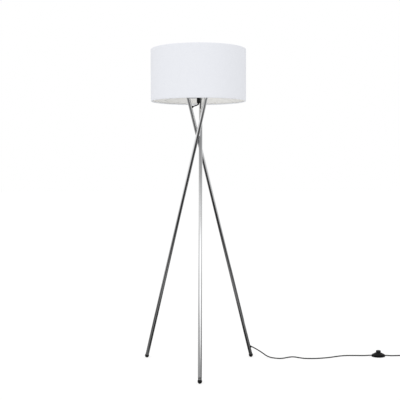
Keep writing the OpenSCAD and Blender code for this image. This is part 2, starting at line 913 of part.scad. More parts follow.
module plug_body()
    color("black")
        at_plug()
            difference() {
                translate([0, plug_l / 2, 0]) {
                    rounded_plate(plug_w - 5, plug_l - 5, plug_corner - 2.5, 3);
                    translate([0, 0, 3]) rounded_plate(plug_w, plug_l, plug_corner, plug_t - 3);
                }
                translate([0, carrier_y, fuse_z - fuse_d / 2 - 0.6])
                    post([fuse_carrier_l, fuse_carrier_w, plug_t], fit);
                line_pins(fit);
                earth_pin_post(fit);
            }

module plug_relief()
    color("black")
        at_plug() translate([0, 0, plug_flex_z]) rotate([90, 0, 0])
            difference() {
                cylinder(r1 = 6.5, r2 = flex_r + 1, h = relief_l);
                translate([0, 0, 8]) cylinder(r = flex_r + 0.2, h = relief_l);
            }

module plug_line_pins() color("gold") at_plug() line_pins(0);
module plug_earth_pin() color("black") at_plug() earth_pin_post(0);

module fuse_carrier()
    color("darkred")
        at_plug() translate([0, carrier_y, plug_t - fuse_carrier_t])
            post([fuse_carrier_l, fuse_carrier_w, fuse_carrier_t], 0);

module plug_fuse()
    color("ivory")
        at_plug() translate([-fuse_l / 2, carrier_y, fuse_z])
            rotate([0, 90, 0]) cylinder(d = fuse_d, h = fuse_l);

leg_front();
leg_right();
leg_left();
foot_front();
foot_right();
foot_left();
waist_studs();
tube_plugs();
top_plate();
plate_screws();
nipple();
lock_washer();
lock_nut();
cord_grip();
grip_screw();
holder_cap();
holder_body();
holder_insert();
screw_shell();
centre_contact();
terminal_screws();
core_wires();
shade_ring_lower();
shade_ring_upper();
bulb_cap();
bulb_housing();
bulb_globe();
shade_fabric();
shade_lining();
top_ring();
bottom_ring();
spider_arms();
spider_hub();
leg_cable();
upper_grommet();
lower_grommet();
floor_cord();
plug_cord();
cord_coil();
coil_ties();
plug_lead();
switch_base();
switch_cover();
switch_button();
switch_spring();
switch_carrier();
switch_contacts();
switch_terminals();
switch_screws();
plug_body();
plug_relief();
plug_line_pins();
plug_earth_pin();
plug_fuse();
fuse_carrier();
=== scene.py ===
import math

import bmesh
import bpy
from mathutils import Matrix, Vector


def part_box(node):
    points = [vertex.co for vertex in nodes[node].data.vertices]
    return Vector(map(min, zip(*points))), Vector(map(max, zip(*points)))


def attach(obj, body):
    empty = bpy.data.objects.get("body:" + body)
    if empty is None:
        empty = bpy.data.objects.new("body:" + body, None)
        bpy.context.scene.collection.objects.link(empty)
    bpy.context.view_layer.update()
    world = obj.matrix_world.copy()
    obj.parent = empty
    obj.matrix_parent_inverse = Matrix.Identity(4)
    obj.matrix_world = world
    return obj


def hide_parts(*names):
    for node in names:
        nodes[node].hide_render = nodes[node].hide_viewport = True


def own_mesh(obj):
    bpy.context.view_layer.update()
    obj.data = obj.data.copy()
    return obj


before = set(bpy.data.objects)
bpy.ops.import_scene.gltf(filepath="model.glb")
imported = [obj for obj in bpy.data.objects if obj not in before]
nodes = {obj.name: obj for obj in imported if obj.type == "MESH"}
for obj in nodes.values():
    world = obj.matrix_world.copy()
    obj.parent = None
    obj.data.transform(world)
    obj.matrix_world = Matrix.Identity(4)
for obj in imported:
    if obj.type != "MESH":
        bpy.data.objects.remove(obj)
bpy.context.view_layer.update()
scene = bpy.context.scene
MM = 0.001

# ---- camera ----

CAMERA_AT = (0.0888, -3.5816, 0.9852)
CAMERA_TURN, CAMERA_TILT, CAMERA_ROLL = 1.325, 87.01, -0.16

camera_data = bpy.data.cameras.new("camera")
camera_data.lens = 67.67
camera_data.sensor_width = 36
camera = bpy.data.objects.new("camera", camera_data)
camera.matrix_world = (
    Matrix.Translation(CAMERA_AT)
    @ Matrix.Rotation(math.radians(CAMERA_TURN), 4, "Z")
    @ Matrix.Rotation(math.radians(CAMERA_TILT), 4, "X")
    @ Matrix.Rotation(math.radians(CAMERA_ROLL), 4, "Z")
)
scene.collection.objects.link(camera)
scene.camera = camera

# ---- sizes that the solids were made to, in millimetres ----

FOOT_REACH = 304
CROSS_H = 1103
SKEW = 9.93685
FLEX_R = 2.8
EXIT_H = 53
ENTRY_H = 1236
GRIP_Z = 1256.6
SWITCH_SPLIT = 6.5
PLUG_FLEX_Z = 10.5
COIL_LOW_Z = 4.0
COIL_HIGH_Z = 8.936
TURN_PITCH = 5.7
COIL_R = 32


def outward(turn):
    a = math.radians(turn)
    return Vector((math.cos(a), math.sin(a), 0))


def aside(turn):
    a = math.radians(turn)
    return Vector((-math.sin(a), math.cos(a), 0))


def on_line(turn, z):
    """Middle of the leg towards turn, at height z."""
    return outward(turn) * FOOT_REACH * (1 - z / CROSS_H) + aside(turn) * SKEW + Vector((0, 0, z))


LOWER_HOLE = on_line(30, EXIT_H)
COIL_AT = LOWER_HOLE + Vector((839.4, 66.7, -EXIT_H))

# ---- curves that a flex follows ----


def flex_curve(name, points, fine=6):
    """Round flex on one smooth curve through points, in millimetres."""
    data = bpy.data.curves.new(name, "CURVE")
    data.dimensions = "3D"
    data.bevel_depth = FLEX_R * MM
    data.bevel_resolution = 5
    data.resolution_u = fine
    data.use_fill_caps = True
    spline = data.splines.new("BEZIER")
    spline.bezier_points.add(len(points) - 1)
    for knot, point in zip(spline.bezier_points, points):
        knot.co = Vector(point) * MM
        knot.handle_left_type = "AUTO"
        knot.handle_right_type = "AUTO"
    piece = bpy.data.objects.new(name, data)
    scene.collection.objects.link(piece)
    return piece


def laid(route, low, high):
    """Route on the floor from below the lower hole, between two heights of the flex's middle."""
    return [(LOWER_HOLE.x + x, LOWER_HOLE.y + y, low + up * (high - low)) for x, y, up in route]


REST_Z = FLEX_R + 0.2

# Each place is (x, y) from the lower hole, and the share of the way from the low height to the high one
FROM_LEG = [
    (3, 0, 1), (13.5, 0, 0.995), (20.4, -0.3, 0.94), (29.4, -1.1, 0.85), (39.4, -2.3, 0.74),
    (50.4, -4, 0.616), (62.4, -6.3, 0.472), (74.4, -8.8, 0.312), (85.4, -11.8, 0.176),
    (96.4, -15.8, 0.076), (107.4, -20.3, 0.024), (120, -26.3, 0.004),
]
TO_SWITCH = [
    (134, -32, 0), (148, -35.8, 0), (162, -34.3, 0), (176, -27.3, 0), (191, -16.8, 0),
    (206, -8.3, 0), (221, -5.8, 0), (236, -10.8, 0), (251, -21.3, 0), (267, -30.3, 0),
    (285, -34.8, 0), (306, -35.8, 0), (330, -34.3, 0), (356, -28.8, 0), (382, -21.3, 0),
    (408, -10.8, 0), (434, 2.7, 0), (460, 15.2, 0), (486, 22.5, 0), (514, 25, 0),
    (544, 25, 0), (570, 23.4, 0.06), (588, 20.4, 0.42), (602, 17.6, 0.88), (613, 16.7, 1),
    (625.4, 16.7, 1),
]
FROM_SWITCH = [(675.4, 16.7, 1), (687, 16.7, 1), (700, 18, 0.7), (716, 21.2, 0.2), (734, 24.8, 0.02)]
TO_COIL = [(760, 27.8, 0), (788, 29, 0.2), (815, 29, 0.9), (839.4, 29, 1)]
TO_PLUG = [(0, 12, 0.25), (0, 24, 0.6), (0.4, 40, 1), (0.6, 56, 1), (0.6, 70, 1)]

# Along the coil, in degrees: where the flex moves in by one turn, where it rolls up over the turn below,
# and where it crosses that turn in a small hump
COIL_STEP, COIL_END = 15, 1530
SHIFT = 110
INWARD_AT = (250, 610)
CLIMB_AT, CLIMB = 870, 100
OVER_AT = 1180
HUMP_AT, HUMP_H = (970, 1330), 0.7


def ease(t):
    return t * t * (3 - 2 * t)


def change(turn, start, span=SHIFT):
    """Share of a change that takes span degrees from start."""
    return ease(min(1, max(0, (turn - start) / span)))


def wound(turn):
    """Radius and height of the coil's flex after turning to turn, in degrees from where it comes in."""
    if turn <= CLIMB_AT:
        inward = sum(change(turn, start) for start in INWARD_AT)
        return COIL_R + TURN_PITCH * (1 - inward), COIL_LOW_Z
    # The flex rolls up over the middle turn, from the groove on its inside to the one on its outside
    roll = math.radians(180 - 60 * change(turn, CLIMB_AT, CLIMB) - 60 * change(turn, OVER_AT))
    hump = 0
    for start in HUMP_AT:
        if start < turn < start + SHIFT:
            hump = HUMP_H * math.sin(math.pi * (turn - start) / SHIFT) ** 2
    return COIL_R + TURN_PITCH * math.cos(roll), COIL_LOW_Z + TURN_PITCH * math.sin(roll) + hump


def coil_points():
    points = []
    for turn in range(COIL_STEP, COIL_END + 1, COIL_STEP):
        radius, z = wound(turn)
        points.append(COIL_AT + outward(turn - 90) * radius + Vector((0, 0, z)))
    return points


def plug_points():
    start = COIL_AT + Vector((COIL_R + TURN_PITCH / 2, 0, 0))
    rise = PLUG_FLEX_Z - COIL_HIGH_Z
    return [start + Vector((x, y, COIL_HIGH_Z + up * rise)) for x, y, up in TO_PLUG]


floor_flex = flex_curve(
    "floor_flex", laid(FROM_LEG, REST_Z, EXIT_H) + laid(TO_SWITCH, REST_Z, SWITCH_SPLIT)
)
plug_flex = flex_curve(
    "plug_flex",
    laid(FROM_SWITCH, REST_Z, SWITCH_SPLIT) + laid(TO_COIL, REST_Z, COIL_LOW_Z) + coil_points() + plug_points(),
    fine=4,
)

# ---- lead from the grip into the leg, and down inside it ----


def lead_points():
    """From the lampholder through the grip, in a bow into the leg, and down to the lower hole."""
    slope = math.radians(25)
    way_in = Vector((math.cos(slope), 0, math.sin(slope)))
    hole = on_line(30, ENTRY_H)
    mouth = hole + way_in * 13.8
    start, leave = Vector((0, 0, GRIP_Z)), Vector((0, 0, GRIP_Z - 9))
    reach = mouth + way_in * 9
    points = [Vector((0, 0, 1297)), Vector((0, 0, 1270))]
    for i in range(9):
        s = i / 8
        points.append(
            start * (1 - s) ** 3 + leave * 3 * s * (1 - s) ** 2 + reach * 3 * s * s * (1 - s) + mouth * s ** 3
        )
    down = (on_line(30, EXIT_H) - hole).normalized()
    points += [hole + way_in * 6, hole + way_in * 2 + down * 3, hole + down * 12]
    points += [on_line(30, z) for z in (1180, 900, 600, 300, 90)]
    points += [on_line(30, 60) + Vector((1, 0, 0)), on_line(30, EXIT_H) + Vector((5, 0, 0))]
    return points


leg_lead = flex_curve("leg_lead", lead_points(), fine=5)

# ---- mesh helpers ----


def object_from(bm, name, material):
    mesh = bpy.data.meshes.new(name)
    bm.to_mesh(mesh)
    bm.free()
    mesh.materials.append(material)
    made = bpy.data.objects.new(name, mesh)
    scene.collection.objects.link(made)
    return made


def piece_from(bm, name, material, body="lamp", smooth=35):
    """Finished piece from a bmesh that is in metres and in place."""
    piece = object_from(bm, name, material)
    for face in piece.data.polygons:
        face.use_smooth = True
    piece.data.set_sharp_from_angle(angle=math.radians(smooth))
    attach(piece, body)
    return piece


def verts_in(geometry):
    return [g for g in geometry if isinstance(g, bmesh.types.BMVert)]


def edges_in(geometry):
    return [g for g in geometry if isinstance(g, bmesh.types.BMEdge)]


def rotate(bm, verts, angle, axis):
    bmesh.ops.rotate(bm, verts=verts, cent=(0, 0, 0), matrix=Matrix.Rotation(angle, 3, axis))


def turned(profile, steps, centre=(0, 0)):
    """Turned about an upright axis from a profile of (radius, height), in millimetres, that is
    closed, or runs from one point of the axis to another."""
    bm = bmesh.new()
    corners = [bm.verts.new((centre[0] * MM + r * MM, centre[1] * MM, z * MM)) for r, z in profile]
    ring = corners if profile[0][0] == 0 else corners + corners[:1]
    for a, b in zip(ring, ring[1:]):
        bm.edges.new((a, b))
    bmesh.ops.spin(
        bm, geom=bm.verts[:] + bm.edges[:], cent=(centre[0] * MM, centre[1] * MM, 0), axis=(0, 0, 1),
        dvec=(0, 0, 0), angle=math.tau, steps=steps, use_merge=True, use_duplicate=False,
    )
    bmesh.ops.remove_doubles(bm, verts=bm.verts, dist=1e-6)
    bmesh.ops.recalc_face_normals(bm, faces=bm.faces)
    return bm


# ---- shared effects ----


def effect(name, inputs, outputs):
    """Empty shader group with its own values going in and its masks and values coming out."""
    tree = bpy.data.node_groups.new(name, "ShaderNodeTree")
    for label, value in inputs:
        socket = tree.interface.new_socket(label, in_out="INPUT", socket_type="NodeSocketFloat")
        socket.default_value = value
    for label in outputs:
        tree.interface.new_socket(label, in_out="OUTPUT", socket_type="NodeSocketFloat")
    return tree, tree.nodes.new("NodeGroupInput"), tree.nodes.new("NodeGroupOutput")


def give(tree, out, **results):
    """Links what a group has worked out to the sockets that it comes out of."""
    for label, value in results.items():
        tree.links.new(value, out.inputs[label])


def fill(tree, socket, value):
    """Sets a plain number, and links anything else."""
    if isinstance(value, (int, float)):
        socket.default_value = value
    else:
        tree.links.new(value, socket)


def math_node(tree, operation, a, b=None, clamp=False):
    node = tree.nodes.new("ShaderNodeMath")
    node.operation = operation
    node.use_clamp = clamp
    fill(tree, node.inputs[0], a)
    if b is not None:
        fill(tree, node.inputs[1], b)
    return node.outputs[0]


def times(tree, a, b, clamp=False):
    return math_node(tree, "MULTIPLY", a, b, clamp)


def vector_node(tree, operation, a, b=None):
    node = tree.nodes.new("ShaderNodeVectorMath")
    node.operation = operation
    tree.links.new(a, node.inputs[0])
    if b is not None:
        tree.links.new(b, node.inputs[1])
    return node.outputs["Vector" if operation == "NORMALIZE" else "Value"]


def parts_of(tree, vector):
    node = tree.nodes.new("ShaderNodeSeparateXYZ")
    tree.links.new(vector, node.inputs["Vector"])
    return node.outputs


def range_node(tree, value, from_low, from_high, to_low=0, to_high=1):
    node = tree.nodes.new("ShaderNodeMapRange")
    tree.links.new(value, node.inputs["Value"])
    for label, end in (
        ("From Min", from_low), ("From Max", from_high), ("To Min", to_low), ("To Max", to_high)
    ):
        fill(tree, node.inputs[label], end)
    return node.outputs["Result"]


def noise_node(tree, coordinates, scale, detail=3.0, rough=0.5, stretch=None):
    if stretch:
        mapping = tree.nodes.new("ShaderNodeMapping")
        mapping.inputs["Scale"].default_value = stretch
        tree.links.new(coordinates, mapping.inputs["Vector"])
        coordinates = mapping.outputs["Vector"]
    node = tree.nodes.new("ShaderNodeTexNoise")
    tree.links.new(coordinates, node.inputs["Vector"])
    fill(tree, node.inputs["Scale"], scale)
    node.inputs["Detail"].default_value = detail
    node.inputs["Roughness"].default_value = rough
    return node.outputs["Fac"]


def object_coordinates(tree):
    return tree.nodes.new("ShaderNodeTexCoord").outputs["Object"]


def surface_normal(tree):
    return tree.nodes.new("ShaderNodeNewGeometry").outputs["Normal"]


def make_surface_grain():
    """Fine grain for height, and patches that are a little glossier or duller."""
    tree, given, out = effect(
        "surface_grain",
        [("Grain Scale", 2500), ("Patch Scale", 40), ("Dull", 0.5), ("Glossy", 0.4)],
        ["Height", "Roughness", "Patches"],
    )
    place = object_coordinates(tree)
    fine = noise_node(tree, place, given.outputs["Grain Scale"], 2.0)
    patches = noise_node(tree, place, given.outputs["Patch Scale"], 4.0, 0.6)
    both = math_node(tree, "ADD", times(tree, fine, 0.35), times(tree, patches, 0.65))
    rough = range_node(tree, both, 0.3, 0.7, given.outputs["Glossy"], given.outputs["Dull"])
    give(tree, out, Height=fine, Roughness=rough, Patches=range_node(tree, patches, 0.35, 0.65))
    return tree


def make_settled_dust():
    """Mask of the dust that lies on what faces up, broken up by a speckle."""
    tree, given, out = effect("settled_dust", [("Amount", 0.3), ("Speck Scale", 900)], ["Mask"])
    place = object_coordinates(tree)
    up = range_node(tree, parts_of(tree, surface_normal(tree))["Z"], 0.1, 1.0)
    specks = range_node(tree, noise_node(tree, place, given.outputs["Speck Scale"]), 0.45, 0.75)
    drift = range_node(tree, noise_node(tree, place, 25.0), 0.35, 0.65, 0.4, 1.0)
    mask = times(tree, times(tree, up, specks), drift)
    give(tree, out, Mask=times(tree, mask, given.outputs["Amount"], clamp=True))
    return tree


def make_edge_wear_and_sheen():
    """Mask of the edges, for wear that hands and cloths have rubbed and for a painted sheen along them."""
    tree, given, out = effect("edge_wear_and_sheen", [("Amount", 0.5), ("Width", 0.0006)], ["Mask"])
    bevel = tree.nodes.new("ShaderNodeBevel")
    bevel.samples = 4
    tree.links.new(given.outputs["Width"], bevel.inputs["Radius"])
    flat = vector_node(tree, "DOT_PRODUCT", bevel.outputs["Normal"], surface_normal(tree))
    edge = range_node(tree, flat, 0.985, 0.80)
    patchy = range_node(tree, noise_node(tree, object_coordinates(tree), 350.0), 0.35, 0.7, 0.3, 1.0)
    give(tree, out, Mask=times(tree, times(tree, edge, patchy), given.outputs["Amount"], clamp=True))
    return tree


def make_drawn_metal():
    """Streaks along a polished tube, faint smears and the film left by a cloth."""
    tree, given, out = effect(
        "drawn_metal", [("Polished", 0.03), ("Smeared", 0.12)], ["Height", "Roughness", "Film"]
    )
    place = object_coordinates(tree)
    streaks = noise_node(tree, place, 60.0, 2.0, 0.5, stretch=(16.0, 16.0, 0.25))
    smears = noise_node(tree, place, 14.0, 4.0, 0.62, stretch=(1.0, 1.0, 0.5))
    film = range_node(tree, smears, 0.48, 0.72)
    rough = range_node(tree, film, 0, 1, given.outputs["Polished"], given.outputs["Smeared"])
    give(tree, out, Height=streaks, Roughness=rough, Film=film)
    return tree


def make_plain_weave():
    """Threads over and under each other on a piece's own map, which is in metres, with slubs."""
    tree, given, out = effect(
        "plain_weave", [("Threads", 1600), ("Slub", 0.5)], ["Height", "Shade", "Thread"]
    )
    cut = tree.nodes.new("ShaderNodeUVMap")
    cut.uv_map = "cut"
    place = cut.outputs["UV"]
    split = parts_of(tree, place)
    slub_across = noise_node(tree, place, 1.0, 3.0, 0.6, stretch=(900.0, 60.0, 1.0))
    slub_along = noise_node(tree, place, 1.0, 3.0, 0.6, stretch=(60.0, 900.0, 1.0))
    angle = times(tree, given.outputs["Threads"], math.pi)
    across, along = [math_node(tree, "SINE", times(tree, split[axis], angle)) for axis in ("X", "Y")]
    over = times(tree, across, along)
    warp = times(tree, math_node(tree, "ABSOLUTE", across), range_node(tree, over, -0.2, 0.2, 0.4, 1.0))
    weft = times(tree, math_node(tree, "ABSOLUTE", along), range_node(tree, over, -0.2, 0.2, 1.0, 0.4))
    thread = math_node(tree, "MAXIMUM", warp, weft)
    slub = math_node(tree, "ADD", times(tree, slub_across, 0.5), times(tree, slub_along, 0.5))
    lift = times(tree, math_node(tree, "SUBTRACT", slub, 0.5), given.outputs["Slub"])
    height = math_node(tree, "ADD", thread, lift)
    give(tree, out, Height=height, Shade=range_node(tree, slub, 0.38, 0.62), Thread=thread)
    return tree


GRAIN = make_surface_grain()
DUST = make_settled_dust()
EDGES = make_edge_wear_and_sheen()
DRAWN = make_drawn_metal()
WEAVE = make_plain_weave()


class Finish:
    """A material being built: its shader, and the groups and mixes that feed it."""

    def __init__(self, name, metallic=0.0, **plain):
        self.material = bpy.data.materials.new(name)
        self.material.use_nodes = True
        self.tree = self.material.node_tree
        self.shader = self.tree.nodes["Principled BSDF"]
        self.shader.inputs["Metallic"].default_value = metallic
        for label, value in plain.items():
            self.shader.inputs[label.replace("_", " ")].default_value = value

    def place(self, group, **values):
        node = self.tree.nodes.new("ShaderNodeGroup")
        node.node_tree = group
        for label, value in values.items():
            node.inputs[label.replace("_", " ")].default_value = value
        return node

    def mix(self, mask, a, b):
        node = self.tree.nodes.new("ShaderNodeMix")
        node.data_type = "RGBA"
        self.tree.links.new(mask, node.inputs["Factor"])
        for label, value in (("A", a), ("B", b)):
            socket = next(s for s in node.inputs if s.name == label and s.type == "RGBA")
            if isinstance(value, tuple):
                socket.default_value = (*value, 1)
            else:
                self.tree.links.new(value, socket)
        return next(s for s in node.outputs if s.type == "RGBA")

    def feed(self, label, output):
        self.tree.links.new(output, self.shader.inputs[label])

    def bump(self, height, strength, distance):
        node = self.tree.nodes.new("ShaderNodeBump")
        node.inputs["Strength"].default_value = strength
        node.inputs["Distance"].default_value = distance
        self.tree.links.new(height, node.inputs["Height"])
        self.feed("Normal", node.outputs["Normal"])


def moulded(name, dark, light, dust=(0.3, 0.29, 0.27), glossy=0.3, dull=0.5, grain=2500, relief=0.00003,
            rub_and_sheen=0.0, dusting=0.25, metallic=0.0, **plain):
    """Moulded, cast or plated finish with grain, patches, edges lightened as rubbed wear and as painted sheen,
    and a little dust.
    """
    made = Finish(name, metallic, **plain)
    surface = made.place(GRAIN, Grain_Scale=grain, Patch_Scale=45, Dull=dull, Glossy=glossy)
    colour = made.mix(surface.outputs["Patches"], dark, light)
    if rub_and_sheen:
        # Edges are painted paler: partly rubbed wear, partly a painted sheen along them.
        worn_and_sheen = made.place(EDGES, Amount=rub_and_sheen, Width=0.0006)
        paler = tuple(min(1, c * 2.2 + 0.02) for c in light)
        colour = made.mix(worn_and_sheen.outputs["Mask"], colour, paler)
    if dusting:
        settled = made.place(DUST, Amount=dusting, Speck_Scale=900)
        colour = made.mix(settled.outputs["Mask"], colour, dust)
    made.feed("Base Color", colour)
    made.feed("Roughness", surface.outputs["Roughness"])
    made.bump(surface.outputs["Height"], 0.6, relief)
    return made.material


def polished_tube():
    made = Finish("polished_chrome", 1.0)
    drawn = made.place(DRAWN, Polished=0.035, Smeared=0.09)
    made.feed("Base Color", made.mix(drawn.outputs["Film"], (0.86, 0.865, 0.875), (0.79, 0.79, 0.785)))
    made.feed("Roughness", drawn.outputs["Roughness"])
    made.bump(drawn.outputs["Height"], 0.12, 0.00002)
    return made.material


def shade_cloth():
    made = Finish("shade_cloth", Sheen_Weight=0.12, Sheen_Roughness=0.5)
    weave = made.place(WEAVE, Threads=1500, Slub=0.6)
    threads = made.mix(weave.outputs["Shade"], (0.80, 0.815, 0.86), (0.85, 0.862, 0.90))
    # The gaps between the threads are painted darker, as shade between the threads.
    made.feed("Base Color", made.mix(weave.outputs["Thread"], (0.70, 0.715, 0.76), threads))
    made.feed("Roughness", range_node(made.tree, weave.outputs["Shade"], 0, 1, 0.92, 0.8))
    made.bump(weave.outputs["Height"], 0.35, 0.00018)
    return made.material


BLACK_DUST = (0.09, 0.088, 0.084)
CLOTH = shade_cloth()
RUBBER = moulded(
    "foot_rubber", (0.005, 0.005, 0.0054), (0.011, 0.011, 0.0115), dust=BLACK_DUST, glossy=0.42, dull=0.62,
    grain=1800, relief=0.00006, rub_and_sheen=0.2, dusting=0.12, Specular_IOR_Level=0.35,
)
SHEATH = moulded(
    "flex_sheath", (0.004, 0.004, 0.0043), (0.008, 0.008, 0.0083), dust=BLACK_DUST, glossy=0.4, dull=0.55,
    grain=900, relief=0.00004, dusting=0.08, Specular_IOR_Level=0.28,
)
BLACK_PLASTIC = moulded(
    "black_plastic", (0.004, 0.004, 0.0043), (0.008, 0.008, 0.0084), dust=BLACK_DUST, glossy=0.36, dull=0.54,
    grain=3000, relief=0.00005, rub_and_sheen=0.3, dusting=0.1, Specular_IOR_Level=0.32,
)
GLOSS_PLASTIC = moulded(
    "gloss_black_plastic", (0.004, 0.004, 0.0044), (0.007, 0.007, 0.0074), dust=BLACK_DUST, glossy=0.14,
    dull=0.3, grain=1500, relief=0.000012, rub_and_sheen=0.25, dusting=0.1, Specular_IOR_Level=0.4,
)
BUTTON_PLASTIC = moulded(
    "button_plastic", (0.005, 0.005, 0.0054), (0.011, 0.011, 0.0115), dust=BLACK_DUST, glossy=0.3, dull=0.5,
    grain=2200, rub_and_sheen=0.4, dusting=0.12, Specular_IOR_Level=0.4,
)
LINING = moulded(
    "shade_lining_film", (0.83, 0.822, 0.80), (0.87, 0.865, 0.85), dust=(0.66, 0.65, 0.63), glossy=0.5,
    dull=0.7, grain=700, dusting=0.05,
)
WHITE_WIRE = moulded(
    "white_coated_wire", (0.76, 0.76, 0.75), (0.84, 0.84, 0.83), dust=(0.45, 0.43, 0.4), glossy=0.28,
    dull=0.42, grain=1600, relief=0.00006, dusting=0.15,
)
SPRING = moulded(
    "spring_wire", (0.4, 0.4, 0.41), (0.56, 0.56, 0.56), metallic=1.0, glossy=0.2, dull=0.36, dusting=0.0,
)

FINISHES = {
    "chrome_tube": polished_tube(),
    "rubber_black": RUBBER,
    "flex_black": SHEATH,
    "plastic_black": BLACK_PLASTIC,
    "plastic_gloss_black": GLOSS_PLASTIC,
    "button_black": BUTTON_PLASTIC,
    "shade_fabric": CLOTH,
    "shade_lining": LINING,
    "wire_white": WHITE_WIRE,
    "steel_spring": SPRING,
    "zinc_steel": moulded(
        "zinc_plate", (0.48, 0.49, 0.5), (0.62, 0.62, 0.6), metallic=1.0, glossy=0.22, dull=0.42, grain=1200,
        rub_and_sheen=0.3, dusting=0.1,
    ),
    "aluminium_plug": moulded(
        "turned_aluminium", (0.7, 0.7, 0.71), (0.8, 0.8, 0.8), metallic=1.0, glossy=0.25, dull=0.4, dusting=0.0,
    ),
    "brass": moulded(
        "brass", (0.62, 0.43, 0.17), (0.78, 0.58, 0.27), metallic=1.0, glossy=0.14, dull=0.34, grain=1400,
        rub_and_sheen=0.25, dusting=0.05,
    ),
    "nickel_cap": moulded(
        "nickel_cap", (0.6, 0.58, 0.54), (0.72, 0.7, 0.66), metallic=1.0, glossy=0.18, dull=0.34, dusting=0.0,
    ),
    "ceramic": moulded(
        "glazed_ceramic", (0.76, 0.74, 0.68), (0.84, 0.82, 0.77), glossy=0.1, dull=0.3, grain=600, dusting=0.0,
        Coat_Weight=0.3,
    ),
    "bulb_white": moulded(
        "bulb_housing_plastic", (0.8, 0.8, 0.79), (0.85, 0.85, 0.84), dust=(0.5, 0.49, 0.46), dull=0.45,
        dusting=0.12,
    ),
    "bulb_opal": moulded(
        "opal_diffuser", (0.83, 0.83, 0.81), (0.88, 0.88, 0.865), dust=(0.55, 0.54, 0.5), glossy=0.16, dull=0.3,
        grain=500, relief=0.00001, dusting=0.12, Coat_Weight=0.25, Subsurface_Weight=0.15,
        Subsurface_Scale=0.01,
    ),
    "wire_insulation": moulded(
        "core_insulation", (0.16, 0.06, 0.025), (0.24, 0.1, 0.045), glossy=0.35, dusting=0.0,
    ),
    "carrier_grey": moulded("grey_carrier", (0.2, 0.2, 0.2), (0.28, 0.28, 0.275), glossy=0.35, dusting=0.05),
    "fuse_carrier": moulded(
        "fuse_cover_plastic", (0.3, 0.02, 0.015), (0.4, 0.035, 0.025), dull=0.45, rub_and_sheen=0.3, dusting=0.05,
    ),
}

# Every solid takes its finish, whether it is shown or stood for by a finer piece
SLOT_OF = {}
for solid_name, solid in nodes.items():
    SLOT_OF[solid_name] = solid.material_slots[0].material.name.split(".")[0]
    for holder in solid.material_slots:
        holder.material = FINISHES[SLOT_OF[solid_name]]

for flex in (floor_flex, plug_flex, leg_lead):
    flex.data.materials.append(SHEATH)
    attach(flex, "lamp")
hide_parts("floor_cord")
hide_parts("plug_cord", "cord_coil", "plug_lead")
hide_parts("leg_cable")

# ---- shade ----

SHADE_R = 225
CLOTH_T = 0.6
HEM_R = 2.9
WIRE_RING_R = 222.1
LOW_WIRE_Z = 1267.9
HIGH_WIRE_Z = 1506.1
SHADE_STEPS, WALL_ROWS = 240, 24
LAP_GAP = 0.06
LINING_R = 224.1
LINING_T = 0.5


def rolled(radius):
    """Half section of the cloth at one distance from the wires' middles, bottom to top."""
    points = []
    for a in range(170, 361, 15):
        t = math.radians(a)
        points.append((WIRE_RING_R + radius * math.cos(t), LOW_WIRE_Z + radius * math.sin(t)))
    for i in range(1, WALL_ROWS):
        z = LOW_WIRE_Z + (HIGH_WIRE_Z - LOW_WIRE_Z) * i / WALL_ROWS
        points.append((WIRE_RING_R + radius, z))
    for a in range(0, 191, 15):
        t = math.radians(a)
        points.append((WIRE_RING_R + radius * math.cos(t), HIGH_WIRE_Z + radius * math.sin(t)))
    return points


def wrapped(face, back, thick, lap, seam, way=1, waver=0.0):
    """A sheet that goes once round the drum from a seam at the back and laps over its own start, or under
    it where way is -1. Face and back are its two sides as (radius, height) from bottom to top. The lap and
    the seam's place are in degrees."""
    profile = face + back[::-1]
    half = len(face)
    along = [0]
    for a, b in zip(face, face[1:]):
        along.append(along[-1] + math.dist(a, b))
    along += along[::-1]
    lap = math.radians(lap)
    whole = math.tau + lap
    bm = bmesh.new()
    column = bm.verts.layers.int.new("column")
    row = bm.verts.layers.int.new("row")
    corners = []
    for i, (r, z) in enumerate(profile):
        corners.append(bm.verts.new((r * MM, 0, z * MM)))
        corners[-1][column] = i
    edge_row = [bm.edges.new((a, b)) for a, b in zip(corners, corners[1:] + corners[:1])]
    for step in range(1, SHADE_STEPS + 1):
        grown = bmesh.ops.extrude_edge_only(bm, edges=edge_row)["geom"]
        fresh = set(verts_in(grown))
        edge_row = [edge for edge in edges_in(grown) if set(edge.verts) <= fresh]
        rotate(bm, list(fresh), whole / SHADE_STEPS, "Z")
        for vert in fresh:
            vert[row] = step
    for last, flip in ((0, True), (SHADE_STEPS, False)):
        end = sorted((v for v in bm.verts if v[row] == last), key=lambda v: v[column])
        for i in range(half - 1):
            quad = [end[i], end[i + 1], end[-2 - i], end[-1 - i]]
            bm.faces.new(quad[::-1] if flip else quad)
    layer = bm.loops.layers.uv.new("cut")
    for surface in bm.faces:
        for loop in surface.loops:
            arc = whole * loop.vert[row] / SHADE_STEPS
            loop[layer].uv = (arc * SHADE_R * MM, along[loop.vert[column]] * MM)
    # Over the last of its turn the sheet moves to lie on its own start, and the wall is a hair out of round
    for vert in bm.verts:
        arc = whole * vert[row] / SHADE_STEPS
        over = ease(min(1, max(0, (arc - math.tau + lap) / lap)))
        out_of_round = waver * math.sin(arc * 7 + 1.3) * math.sin(math.pi * along[vert[column]] / along[half - 1])
        grow = 1 + (over * way * (thick + LAP_GAP) + out_of_round * (1 - over)) / SHADE_R
        vert.co.x *= grow
        vert.co.y *= grow
    bmesh.ops.recalc_face_normals(bm, faces=bm.faces)
    rotate(bm, bm.verts, math.radians(seam), "Z")
    return bm


shade = piece_from(
    wrapped(rolled(HEM_R), rolled(HEM_R - CLOTH_T), CLOTH_T, lap=3.3, seam=78, waver=0.06),
    "shade_cloth_drum", CLOTH, smooth=60,
)
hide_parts("shade_fabric")


def upright(radius):
    """Half section of one side of the lining, bottom to top."""
    return [(radius, z) for z in (1271.2, 1387, 1502.8)]


# Stiff film laminated inside the drum, with its own lap
lining = piece_from(
    wrapped(upright(LINING_R), upright(LINING_R - LINING_T), LINING_T, lap=2.6, seam=96, way=-1),
    "shade_lining_film", LINING, smooth=60,
)
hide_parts("shade_lining")

# ---- finer pieces that stand for single solids ----


def stands_for(piece, *names):
    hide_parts(*names)
    return piece


